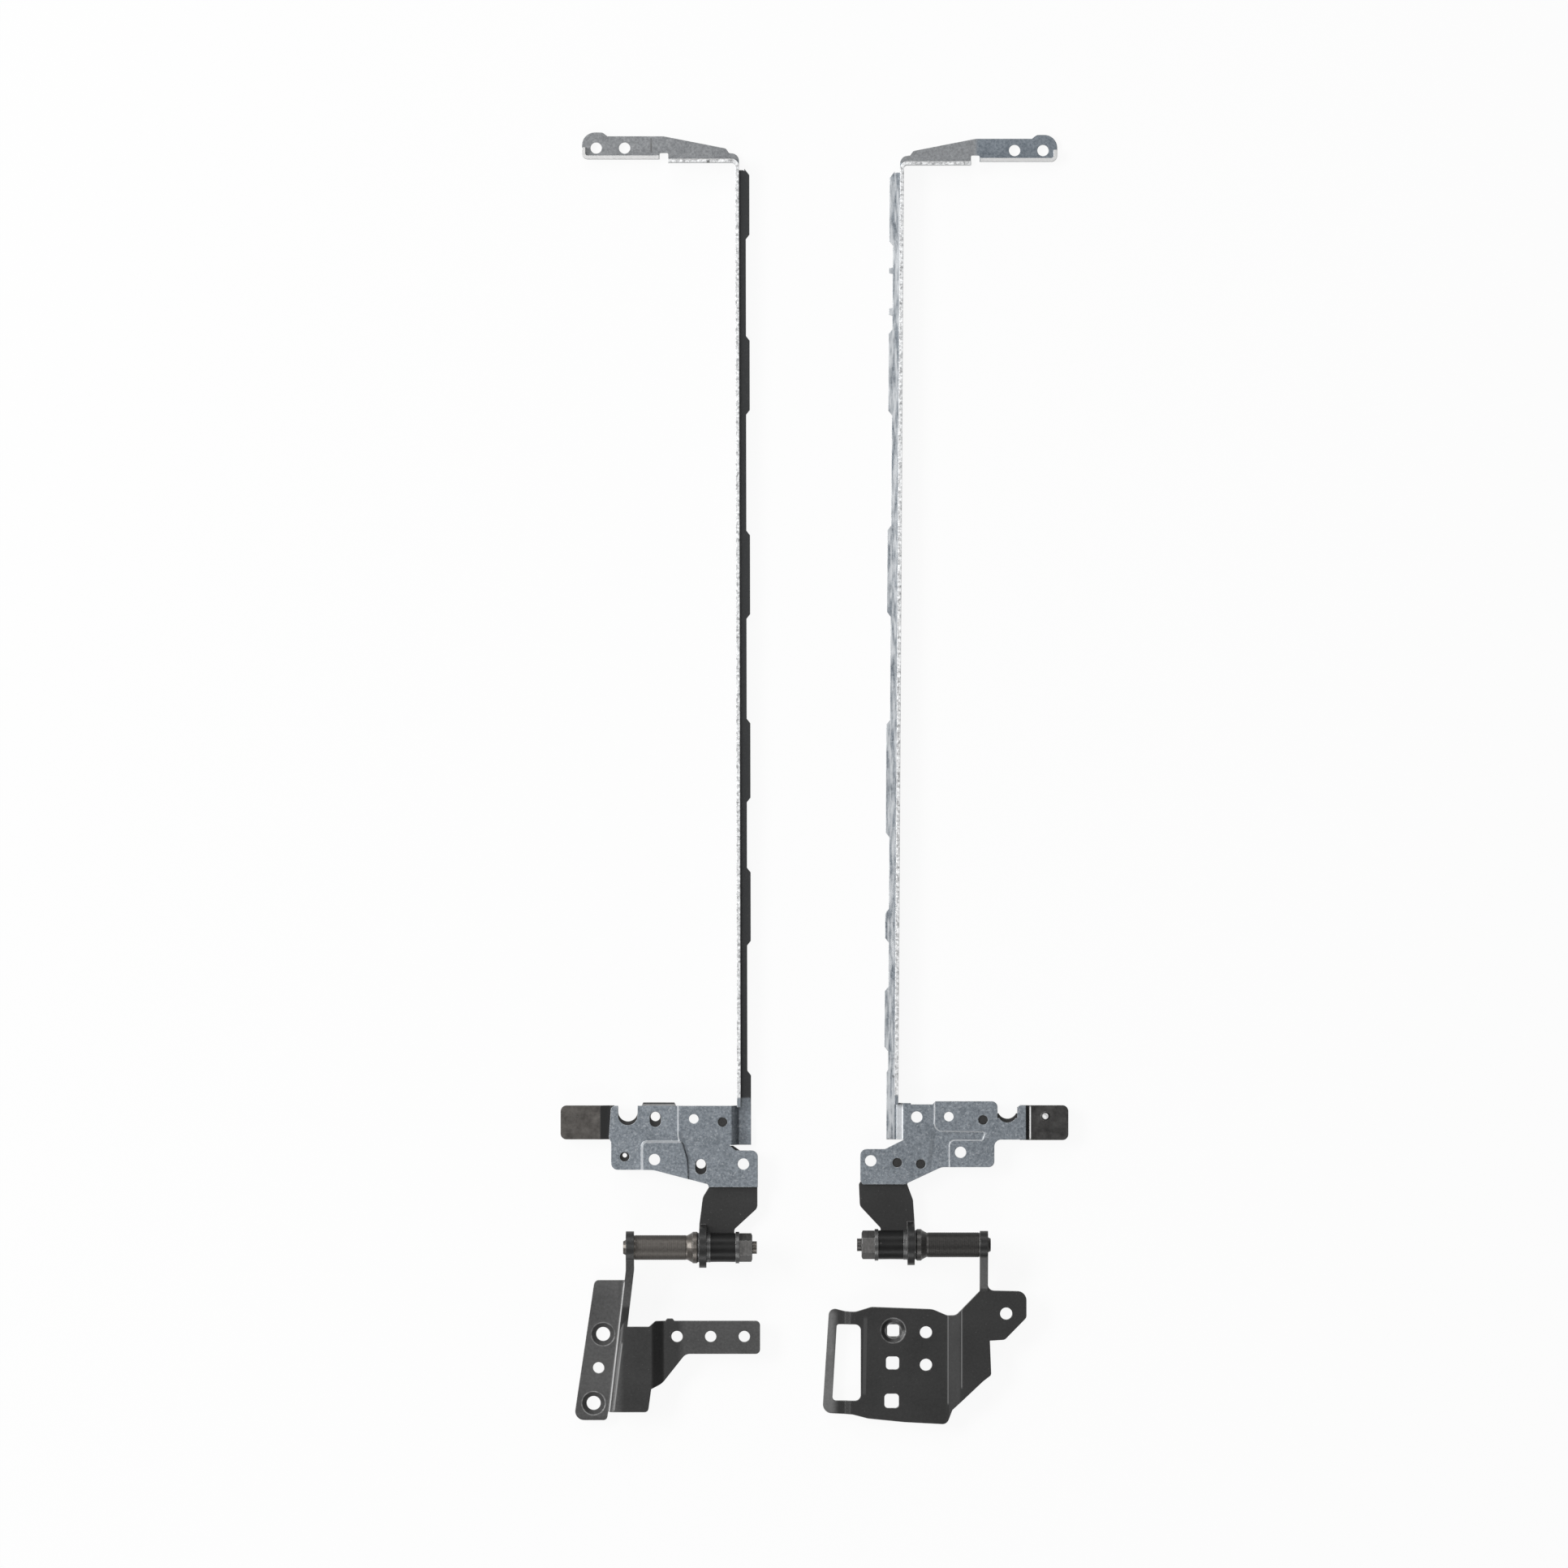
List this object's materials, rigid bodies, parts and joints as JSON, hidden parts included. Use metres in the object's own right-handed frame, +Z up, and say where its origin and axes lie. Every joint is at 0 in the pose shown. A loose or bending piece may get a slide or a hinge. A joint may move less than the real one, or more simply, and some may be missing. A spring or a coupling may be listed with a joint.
{
  "type": "pair of laptop hinges",
  "caption": "Left and right friction hinges for a laptop lid, each with a long display rail, a stepped mounting plate, a sprung pin and a bracket for the base.",
  "frame": {"origin": "centre of the pair's outline seen from above, on the plane it rests on", "axes": "+X along both pins, +Y up the display rails away from the pins, +Z up from the bench"},
  "size_m": [0.1124, 0.2863, 0.0099],
  "materials": {
    "galvanised_steel": "matte galvanised sheet, finely speckled",
    "black_coat": "thin satin black coat, worn to steel on the edges",
    "pin_steel": "dark oxide, satin, oiled",
    "washer_steel": "dark oiled spring steel",
    "spring_steel": "glossy, covered with grease",
    "nut_steel": "dark oxide, satin"
  },
  "bodies": {
    "bases": {"left_base_bracket": "black_coat", "left_pin": "pin_steel", "left_thrust_washer": "washer_steel", "left_friction_washer": "washer_steel", "left_disc_springs": "spring_steel", "left_end_washer": "washer_steel", "left_lock_nut": "nut_steel", "right_base_bracket": "black_coat", "right_pin": "pin_steel", "right_thrust_washer": "washer_steel", "right_friction_washer": "washer_steel", "right_disc_springs": "spring_steel", "right_end_washer": "washer_steel", "right_lock_nut": "nut_steel"},
    "left_lid": {"left_display_rail": "galvanised_steel", "left_lid_leaf": "black_coat", "left_key_washer": "washer_steel"},
    "right_lid": {"right_display_rail": "galvanised_steel", "right_lid_leaf": "black_coat", "right_key_washer": "washer_steel"}
  },
  "joints": [
    {"name": "left_lid_turn", "type": "hinge", "parent": "bases", "child": "left_lid", "pos_m": [-0.035, -0.10385, 0.0054], "axis": [1, 0, 0], "range_deg": [0, 180]},
    {"name": "right_lid_turn", "type": "hinge", "parent": "bases", "child": "right_lid", "pos_m": [0.025, -0.10325, 0.0054], "axis": [1, 0, 0], "range_deg": [0, 180]}
  ]
}
